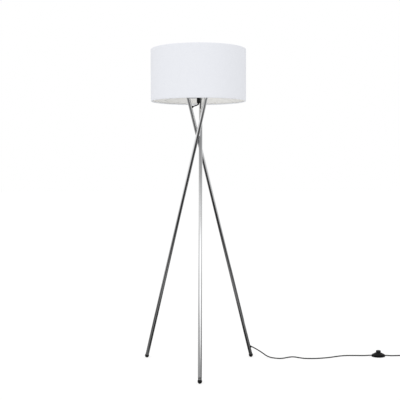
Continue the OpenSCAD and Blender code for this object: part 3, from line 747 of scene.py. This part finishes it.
def eased(node, name, edge, segments=2):
    """Copy of a solid with its sharp edges rounded over."""
    sharp_from = math.radians(32)
    bm = bmesh.new()
    bm.from_mesh(nodes[node].data)
    bmesh.ops.remove_doubles(bm, verts=bm.verts, dist=2e-6)
    bmesh.ops.dissolve_limit(
        bm, angle_limit=math.radians(0.6), use_dissolve_boundaries=False, verts=bm.verts, edges=bm.edges,
        delimit=set(),
    )
    sharp = [e for e in bm.edges if len(e.link_faces) == 2 and e.calc_face_angle() > sharp_from]
    bmesh.ops.bevel(
        bm, geom=sharp, offset=edge * MM, offset_type="OFFSET", affect="EDGES", segments=segments,
        profile=0.5, clamp_overlap=True, material=-1,
    )
    return stands_for(piece_from(bm, name, FINISHES[SLOT_OF[node]], smooth=28), node)


def turn_of(vert):
    return math.atan2(vert.co.y, vert.co.x)


def push_out(vert, by):
    """Moves a point of a ring on the axis outwards, in millimetres."""
    radius = math.hypot(vert.co.x, vert.co.y)
    vert.co.x *= 1 + by * MM / radius
    vert.co.y *= 1 + by * MM / radius


def threaded_sleeve():
    """Lampholder's body with the coarse outer thread that its clamp rings run on."""
    pitch, depth = 2.5, 0.7
    bore, root, crest = 15.3, 18.8, 19.5
    low, high, rows = 1309, 1345, 90
    wall = [(crest, low + (high - low) * i / rows) for i in range(rows + 1)]
    bm = turned([(bore, low), (root, low)] + wall + [(root, high), (bore, high)], 120)
    for vert in bm.verts:
        if math.hypot(vert.co.x, vert.co.y) > (crest - 0.3) * MM:
            phase = (vert.co.z / MM / pitch - turn_of(vert) / math.tau) % 1
            cut = min(1, max(0, abs(phase * 2 - 1) * 1.6 - 0.3))
            push_out(vert, -depth * cut)
    return stands_for(piece_from(bm, "threaded_sleeve", GLOSS_PLASTIC, smooth=50), "holder_body")


def clamp_ring(node, name, low, high):
    """Ring nut with finger ribs round its edge."""
    bore, rim = 19.55, 25
    ribs, rib_depth = 30, 0.9
    bm = turned(
        [(bore, low), (rim - 0.8, low), (rim - 0.2, low + 0.5), (rim, low + 1), (rim, high - 1),
         (rim - 0.2, high - 0.5), (rim - 0.8, high), (bore + 0.65, high), (bore, high - 0.6)],
        ribs * 8,
    )
    for vert in bm.verts:
        if math.hypot(vert.co.x, vert.co.y) > (rim - 0.4) * MM:
            valley = max(0, math.cos(turn_of(vert) * ribs))
            push_out(vert, -rib_depth * valley ** 2)
    return stands_for(piece_from(bm, name, GLOSS_PLASTIC, smooth=50), node)


def ribbed_relief():
    """Strain relief that tapers along the flex, with slots that let it bend."""
    length, bore, thick, taper = 35, 2.95, 6.5, 2.7
    slots, slot_pitch, slot, deep = 6, 4.2, 1.4, 1.0
    profile = [(bore, 0), (thick, 0)]
    for i in range(slots):
        at = 7 + i * slot_pitch
        full = thick - taper * at / length
        next_full = thick - taper * (at + slot) / length
        profile += [(full, at), (full - deep, at + 0.15), (next_full - deep, at + slot - 0.15),
                    (next_full, at + slot)]
    profile += [(3.9, length - 0.6), (3.6, length), (bore, length)]
    bm = turned(profile, 40)
    rotate(bm, bm.verts, math.radians(90), "X")
    low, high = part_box("plug_relief")
    middle = (low + high) / 2
    bmesh.ops.translate(bm, verts=bm.verts, vec=(middle.x, high.y, middle.z))
    return stands_for(piece_from(bm, "ribbed_relief", RUBBER, smooth=40), "plug_relief")


def arm_welds():
    """Small beads where the arms meet the lower wire and the hub."""
    at_wire, at_hub = (220.6, 1268.6, 2.3, 1.7), (29.6, 1315.9, 2.0, 1.3)
    bm = bmesh.new()
    for turn in (35, 155, 275):
        for reach, z, size, stretch in (at_wire, at_hub):
            made = bmesh.ops.create_icosphere(bm, subdivisions=2, radius=size * MM)["verts"]
            bmesh.ops.scale(bm, verts=made, vec=(1, stretch, 0.8))
            rotate(bm, made, math.radians(turn), "Z")
            bmesh.ops.translate(bm, verts=made, vec=outward(turn) * reach * MM + Vector((0, 0, z * MM)))
    piece = piece_from(bm, "arm_welds", WHITE_WIRE, smooth=60)


SWITCH_AT = LOWER_HOLE + Vector((650.4, 16.7, -EXIT_H))
SWITCH_L, SWITCH_W, SWITCH_END_W = 66, 50, 12
BOAT_R = (SWITCH_L ** 2 + (SWITCH_W - SWITCH_END_W) ** 2) / 4 / (SWITCH_W - SWITCH_END_W)
CORNER_POWER = 40


def boat_reach(turn):
    """From the middle of the foot switch to its wall: two arcs that meet short ends, with eased corners."""
    along, across = abs(math.cos(turn)), abs(math.sin(turn))
    offset = BOAT_R - SWITCH_W / 2
    side = math.sqrt(BOAT_R ** 2 - (offset * along) ** 2) - offset * across
    end = SWITCH_L / 2 / max(along, 0.01)
    return (side ** -CORNER_POWER + end ** -CORNER_POWER) ** (-1 / CORNER_POWER)


COVER_T, COVER_HOLE, COVER_CROWN = 1.9, 12.25, 20.4
WALL_H, WALL_RISE = 10.6, 2.1
COVER_STEPS = 160
NOTCH_R = 3


def cover_section(turn):
    """Shell of the foot switch at one turn, as (reach, height): from its lower edge up the wall, over the
    roof to the button's hole, and back inside, with a notch where a flex goes in."""
    wall = boat_reach(turn)
    top = WALL_H + WALL_RISE * math.sin(turn) ** 2

    def edge(inset):
        reach = wall - inset
        off = abs(reach * math.sin(turn))
        z = SWITCH_SPLIT + 0.15
        if off < NOTCH_R and abs(math.cos(turn)) > 0.9:
            z = max(z, SWITCH_SPLIT + math.sqrt(NOTCH_R ** 2 - off ** 2))
        return reach, z

    def roof(share, inset, below):
        reach = wall - inset
        rise = 1 - (1 - share) ** 1.3
        return reach + (COVER_HOLE - reach) * share, top + (COVER_CROWN - top) * rise - below

    points = [edge(0), (wall, top - 1.8), (wall - 0.12, top - 1.0), (wall - 0.5, top - 0.4)]
    points += [roof(k / 12, 1.1, 0) for k in range(13)]
    points += [(COVER_HOLE - 0.25, COVER_CROWN - 0.3), (COVER_HOLE - 0.25, COVER_CROWN - COVER_T)]
    points += [roof(1 - k / 6, COVER_T, COVER_T) for k in range(7)]
    return points + [edge(COVER_T)]


def domed_cover():
    """Shell of the foot switch, which slopes from the button's hole down to the wall."""
    turns = [math.tau * i / COVER_STEPS for i in range(COVER_STEPS)]
    # More sections lie near the ends, where the wall bends most
    turns = [t - 0.35 * math.sin(2 * t) for t in turns]
    sections = [cover_section(t) for t in turns]
    bm = bmesh.new()
    place = bm.verts.layers.int.new("place")

    def lay(verts, row):
        for vert in verts:
            turn = turns[vert[place]]
            reach, z = sections[vert[place]][row]
            vert.co = (SWITCH_AT + Vector((reach * math.cos(turn), reach * math.sin(turn), z))) * MM

    first = bmesh.ops.create_circle(bm, cap_ends=False, segments=COVER_STEPS, radius=1)["verts"]
    for i, vert in enumerate(first):
        vert[place] = i
    ring = bm.edges[:]
    start = ring[:]
    lay(first, 0)
    for row in range(1, len(sections[0])):
        grown = bmesh.ops.extrude_edge_only(bm, edges=ring)["geom"]
        ring = [edge for edge in edges_in(grown) if edge.is_boundary]
        lay(verts_in(grown), row)
    bmesh.ops.bridge_loops(bm, edges=start + ring)
    bmesh.ops.recalc_face_normals(bm, faces=bm.faces)
    return stands_for(piece_from(bm, "foot_switch_cover", BLACK_PLASTIC, smooth=42), "switch_cover")


def ringed_button():
    """Push button with three shallow grip rings on its crown, and the flange that holds it in the cover."""
    low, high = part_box("switch_button")
    foot, crown = low.z / MM, high.z / MM
    inside, wall, flange = 9.8, 11.8, 13.5
    profile = [
        (0, crown - 2), (inside, crown - 2), (inside, foot), (flange - 0.3, foot), (flange, foot + 0.3),
        (flange, foot + 1.2), (flange - 0.3, foot + 1.5), (wall, foot + 1.5), (wall, crown - 1.6),
        (wall - 0.2, crown - 0.8), (wall - 0.7, crown - 0.2), (wall - 1.4, crown),
    ]
    for reach in (9.2, 6.9, 4.6):
        profile += [(reach, crown), (reach - 0.25, crown - 0.4), (reach - 0.75, crown - 0.4), (reach - 1, crown)]
    profile.append((0, crown))
    middle = (low + high) / 2 / MM
    bm = turned(profile, 64, (middle.x, middle.y))
    return stands_for(
        piece_from(bm, "foot_switch_button", BUTTON_PLASTIC, "foot_button", smooth=40), "switch_button"
    )


def button_spring():
    """Spring under the button, with closed end turns; on the real switch it shortens as the button goes down."""
    wire, coil_r, steps_a_turn = 0.5 * MM, 4.5 * MM, 20
    low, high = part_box("switch_spring")
    middle = (low + high) / 2
    bm = bmesh.new()
    bmesh.ops.create_circle(bm, cap_ends=False, segments=10, radius=wire)
    rotate(bm, bm.verts, math.radians(90), "X")
    bmesh.ops.translate(bm, verts=bm.verts, vec=(middle.x + coil_r, middle.y, low.z + wire))
    height = high.z - low.z - 2 * wire
    closed = 2.2 * wire
    wound_edges = bm.edges[:]
    for turns, rise in ((1, closed), (4, height - 2 * closed), (1, closed)):
        steps = steps_a_turn * turns
        made = bmesh.ops.spin(
            bm, geom=wound_edges, cent=middle, axis=(0, 0, 1), dvec=(0, 0, rise / steps), angle=math.tau * turns,
            steps=steps, use_duplicate=False,
        )
        wound_edges = edges_in(made["geom_last"])
    bmesh.ops.holes_fill(bm, edges=bm.edges, sides=0)
    bmesh.ops.recalc_face_normals(bm, faces=bm.faces)
    spring = stands_for(piece_from(bm, "button_spring", SPRING, smooth=50), "switch_spring")
    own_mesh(spring)


threaded_sleeve()
clamp_ring("shade_ring_lower", "lower_clamp_ring", 1310, 1315)
clamp_ring("shade_ring_upper", "upper_clamp_ring", 1316.5, 1324.5)
arm_welds()
relief = ribbed_relief()
eased("holder_cap", "lampholder_cap", 0.7)
eased("cord_grip", "flex_grip", 0.5)
eased("top_plate", "tube_top_plate", 0.5, segments=3)
eased("lock_nut", "hex_lock_nut", 0.3)
eased("plate_screws", "socket_screws", 0.2)
switch_base = eased("switch_base", "foot_switch_base", 0.5)
switch_cover = domed_cover()
switch_button = ringed_button()
button_spring()
plug_case = eased("plug_body", "plug_case", 1.0, segments=3)
plug_pins = eased("plug_line_pins", "plug_line_blades", 0.35)
plug_earth = eased("plug_earth_pin", "plug_earth_blade", 0.35)
plug_cover = eased("fuse_carrier", "fuse_cover", 0.3)
ties = eased("coil_ties", "coil_straps", 0.3)

# ---- floor, studio and light ----

SCREEN_R, SCREEN_H = 2.5, 0.44
SCREEN_FROM, SCREEN_TO = 52, 142


def stage_piece(name, bm, material):
    piece = object_from(bm, name, material)
    return piece


def only_reflected(piece):
    piece.visible_camera = False
    piece.visible_diffuse = False
    piece.visible_transmission = False
    piece.visible_volume_scatter = False
    piece.visible_shadow = False


def bare_material(name):
    """Material with nothing in it but its output, which lights no other piece."""
    material = bpy.data.materials.new(name)
    material.use_nodes = True
    material.cycles.emission_sampling = "NONE"
    tree = material.node_tree
    tree.nodes.clear()
    return material, tree, tree.nodes.new("ShaderNodeOutputMaterial")


def floor_material():
    """Pale floor that gives its light back, and shows the eye a faint soft shadow."""
    material, tree, out = bare_material("pale_floor")
    pale = tree.nodes.new("ShaderNodeBsdfDiffuse")
    pale.inputs["Color"].default_value = (0.86, 0.86, 0.86, 1)
    seen = tree.nodes.new("ShaderNodeBsdfDiffuse")
    seen.inputs["Color"].default_value = (0.3, 0.3, 0.3, 1)
    glow = tree.nodes.new("ShaderNodeEmission")
    glow.inputs["Strength"].default_value = 0.72
    both = tree.nodes.new("ShaderNodeAddShader")
    tree.links.new(seen.outputs[0], both.inputs[0])
    tree.links.new(glow.outputs[0], both.inputs[1])
    choose = tree.nodes.new("ShaderNodeMixShader")
    tree.links.new(tree.nodes.new("ShaderNodeLightPath").outputs["Is Camera Ray"], choose.inputs[0])
    tree.links.new(pale.outputs[0], choose.inputs[1])
    tree.links.new(both.outputs[0], choose.inputs[2])
    tree.links.new(choose.outputs[0], out.inputs["Surface"])
    return material


def glowing(name, level_of):
    """Material that only glows, as strongly as level_of works out in its tree."""
    material, tree, out = bare_material(name)
    glow = tree.nodes.new("ShaderNodeEmission")
    tree.links.new(level_of(tree), glow.inputs["Strength"])
    tree.links.new(glow.outputs[0], out.inputs["Surface"])
    return material


def ramp(tree, value, stops):
    """Level at value from stops of (place, level), eased between them."""
    node = tree.nodes.new("ShaderNodeValToRGB")
    node.color_ramp.interpolation = "EASE"
    points = node.color_ramp.elements
    points[0].position, points[0].color = stops[0][0], (stops[0][1],) * 3 + (1,)
    points[1].position, points[1].color = stops[-1][0], (stops[-1][1],) * 3 + (1,)
    for at, level in stops[1:-1]:
        point = points.new(at)
        point.color = (level,) * 3 + (1,)
    tree.links.new(value, node.inputs["Fac"])
    return node.outputs["Color"]


def by_height(tree, elevation, stops):
    """Level by elevation in degrees."""
    at = range_node(tree, elevation, -90, 90)
    return ramp(tree, at, [((e + 90) / 180, level) for e, level in stops])


def soft_patch(tree, across, up, left, right, low, high, feather_a, feather_u):
    """One inside the patch and nothing outside, with soft edges."""
    sides = []
    for value, edge, way, feather in (
        (across, left, 1, feather_a), (across, right, -1, feather_a),
        (up, low, 1, feather_u), (up, high, -1, feather_u),
    ):
        node = tree.nodes.new("ShaderNodeMapRange")
        node.interpolation_type = "SMOOTHSTEP"
        tree.links.new(value, node.inputs["Value"])
        node.inputs["From Min"].default_value = edge - way * feather
        node.inputs["From Max"].default_value = edge + way * feather
        sides.append(node.outputs["Result"])
    return times(tree, times(tree, sides[0], sides[1]), times(tree, sides[2], sides[3]))


def blend(tree, share, a, b):
    """From a to b as share goes from nothing to one."""
    kept = times(tree, a, math_node(tree, "SUBTRACT", 1, share))
    return math_node(tree, "ADD", kept, times(tree, b, share))


def scaled(tree, level, share, factor):
    """Level as it is where share is nothing, and times factor where share is one."""
    return times(tree, level, range_node(tree, share, 0, 1, 1, factor))


def turn_from_front(tree, place):
    """Azimuth in degrees of a place, nothing in front and growing to the right."""
    front = times(tree, place["Y"], -1)
    return times(tree, math_node(tree, "ARCTAN2", place["X"], front), 180 / math.pi)


def share_behind(tree, azimuth):
    """Nothing in front and one behind, the same on both sides."""
    return range_node(tree, math_node(tree, "ABSOLUTE", azimuth), 0, 180)


def tent_level(tree):
    """Brightness of the studio that polished metal mirrors, by direction from the lamp."""
    split = parts_of(tree, vector_node(tree, "NORMALIZE", object_coordinates(tree)))
    elevation = times(tree, math_node(tree, "ARCSINE", split["Z"]), 180 / math.pi)
    azimuth = turn_from_front(tree, split)
    round_about = share_behind(tree, azimuth)
    ahead = by_height(tree, elevation, [
        (-90, 0.04), (-30, 0.06), (-14, 0.11), (-8, 0.2), (-2, 0.24), (6, 0.2), (14, 0.17), (28, 0.42),
        (33, 0.29), (37, 0.2), (60, 0.22), (90, 0.3),
    ])
    beside = by_height(tree, elevation, [
        (-90, 0.04), (-30, 0.1), (-12, 0.14), (-6, 0.19), (-4, 0.23), (-2, 0.42), (0, 0.56), (4, 0.68),
        (10, 0.66), (15, 0.41), (22, 0.4), (30, 0.34), (60, 0.3), (90, 0.3),
    ])
    behind = by_height(tree, elevation, [
        (-90, 0.05), (-30, 0.2), (-10, 0.6), (0, 0.85), (30, 0.8), (50, 0.45), (90, 0.4),
    ])
    level = blend(tree, ramp(tree, round_about, [(0.12, 0), (0.28, 1)]), ahead, beside)
    level = blend(tree, ramp(tree, round_about, [(0.55, 0), (0.72, 1)]), level, behind)
    # A long soft box high in front, dimmer at its left end and lower towards its right end
    leaned = math_node(tree, "ADD", elevation, range_node(tree, azimuth, -5, 30, 0, 5.4))
    box = soft_patch(tree, azimuth, leaned, -70, 60, 16.3, 28.0, 13, 1.3)
    level = blend(tree, box, level, range_node(tree, azimuth, -40, 10, 1.08, 1.28))
    # The left side is paler near the horizon and dark above the soft box's left end
    sunk = math_node(tree, "ADD", elevation, range_node(tree, azimuth, -90, -60, -3.4, 0))
    level = scaled(tree, level, soft_patch(tree, azimuth, sunk, -106, -54, -1, 12, 14, 1.6), 1.4)
    level = scaled(tree, level, soft_patch(tree, azimuth, elevation, 47, 80, 6.5, 11.5, 7, 1.5), 0.5)
    return scaled(tree, level, soft_patch(tree, azimuth, elevation, -118, -50, 17, 34, 10, 2.5), 0.42)


def dark_floor_level(tree):
    """What polished metal mirrors below itself: dark at the middle and in an arc in front, paler far off."""
    place = object_coordinates(tree)
    reach = vector_node(tree, "LENGTH", place)
    turn = turn_from_front(tree, parts_of(tree, place))
    at = range_node(tree, reach, 0, 10)
    ahead = ramp(tree, at, [
        (0, 0.02), (0.017, 0.025), (0.03, 0.16), (0.055, 0.19), (0.1, 0.13), (0.13, 0.025), (0.25, 0.012),
        (0.33, 0.025), (0.5, 0.1), (0.65, 0.22), (1, 0.34),
    ])
    beside = ramp(tree, at, [
        (0, 0.02), (0.018, 0.03), (0.034, 0.15), (0.06, 0.17), (0.12, 0.11), (0.22, 0.14), (0.36, 0.34),
        (0.6, 0.4), (1, 0.45),
    ])
    level = blend(tree, ramp(tree, share_behind(tree, turn), [(0.16, 0), (0.33, 1)]), ahead, beside)
    # The right side is darker near the lamp and paler behind it
    near = ramp(tree, at, [
        (0, 0.4), (0.018, 0.5), (0.03, 1), (0.05, 1), (0.08, 0.5), (0.12, 0.5), (0.2, 0.8), (0.3, 1),
    ])
    level = blend(tree, range_node(tree, turn, 50, 85), level, times(tree, level, near))
    right_back = ramp(tree, at, [
        (0, 0.02), (0.06, 0.05), (0.1, 0.08), (0.13, 0.3), (0.18, 0.6), (0.26, 0.85), (0.6, 0.9),
    ])
    level = blend(tree, range_node(tree, turn, 84, 126), level, right_back)
    # Two dark patches on the left, and a pale one far off in front and to the right
    level = scaled(tree, level, soft_patch(tree, turn, reach, -104, -44, 0.95, 2.4, 12, 0.35), 0.3)
    level = scaled(tree, level, soft_patch(tree, turn, reach, -70, -26, 4, 6, 8, 0.4), 0.6)
    return scaled(tree, level, soft_patch(tree, turn, reach, 17, 52, 4, 20, 4, 0.5), 2.3)


def low_screen_level(tree):
    """Dark below, and the tent's own tone at the upper edge."""
    up = range_node(tree, parts_of(tree, object_coordinates(tree))["Z"], 0, SCREEN_H)
    return ramp(tree, up, [(0, 0.07), (0.6, 0.1), (0.9, 0.3), (1, 0.5)])


def make_floor():
    bm = bmesh.new()
    bmesh.ops.create_grid(bm, x_segments=1, y_segments=1, size=20)
    bmesh.ops.translate(bm, verts=bm.verts, vec=(0, 0, -0.0003))
    floor = stage_piece("floor", bm, floor_material())
    floor.visible_glossy = False


def make_tent():
    bm = bmesh.new()
    bmesh.ops.create_icosphere(bm, subdivisions=4, radius=15)
    tent = stage_piece("studio_tent", bm, glowing("studio_tent", tent_level))
    tent.location = (0, 0, 0.7)
    only_reflected(tent)


def make_dark_floor():
    bm = bmesh.new()
    bmesh.ops.create_circle(bm, cap_ends=True, segments=64, radius=9)
    bmesh.ops.translate(bm, verts=bm.verts, vec=(0, 0, -0.0006))
    only_reflected(stage_piece("dark_floor", bm, glowing("dark_floor", dark_floor_level)))


def make_low_screen():
    """Low curved screen on the right, seen only in polished metal."""
    bm = bmesh.new()
    feet = []
    for turn in range(SCREEN_FROM, SCREEN_TO + 1, 3):
        a = math.radians(turn)
        feet.append(bm.verts.new((SCREEN_R * math.sin(a), -SCREEN_R * math.cos(a), 0)))
    edges = [bm.edges.new(pair) for pair in zip(feet, feet[1:])]
    grown = bmesh.ops.extrude_edge_only(bm, edges=edges)["geom"]
    bmesh.ops.translate(bm, verts=verts_in(grown), vec=(0, 0, SCREEN_H))
    only_reflected(stage_piece("low_screen", bm, glowing("low_screen", low_screen_level)))


def make_world():
    """White to the eye and in mirrors, and a little less as light."""
    world = bpy.data.worlds.new("studio")
    scene.world = world
    world.use_nodes = True
    tree = world.node_tree
    tree.nodes.clear()
    out = tree.nodes.new("ShaderNodeOutputWorld")
    plain = tree.nodes.new("ShaderNodeBackground")
    plain.inputs["Color"].default_value = (1, 1, 1, 1)
    rays = tree.nodes.new("ShaderNodeLightPath")
    seen = math_node(tree, "MAXIMUM", rays.outputs["Is Camera Ray"], rays.outputs["Is Glossy Ray"])
    seen = math_node(tree, "MAXIMUM", seen, rays.outputs["Is Transmission Ray"])
    tree.links.new(range_node(tree, seen, 0, 1, 0.89, 1.0), plain.inputs["Strength"])
    tree.links.new(plain.outputs[0], out.inputs["Surface"])


def soft_sun(name, azimuth, elevation, strength, spread):
    """Broad distant lamp; azimuth 0 is in front, and grows to the right."""
    data = bpy.data.lights.new(name, "SUN")
    data.energy = strength
    data.angle = math.radians(spread)
    lamp = bpy.data.objects.new(name, data)
    a, e = math.radians(azimuth), math.radians(elevation)
    shines = Vector((-math.sin(a) * math.cos(e), math.cos(a) * math.cos(e), -math.sin(e)))
    lamp.rotation_euler = shines.to_track_quat("-Z", "Y").to_euler()
    lamp.visible_glossy = False
    scene.collection.objects.link(lamp)


make_floor()
make_tent()
make_dark_floor()
make_low_screen()
make_world()
soft_sun("key", -38, 40, 0.62, 35)
soft_sun("fill", 48, 25, 0.3, 60)
scene.view_settings.view_transform = "Standard"
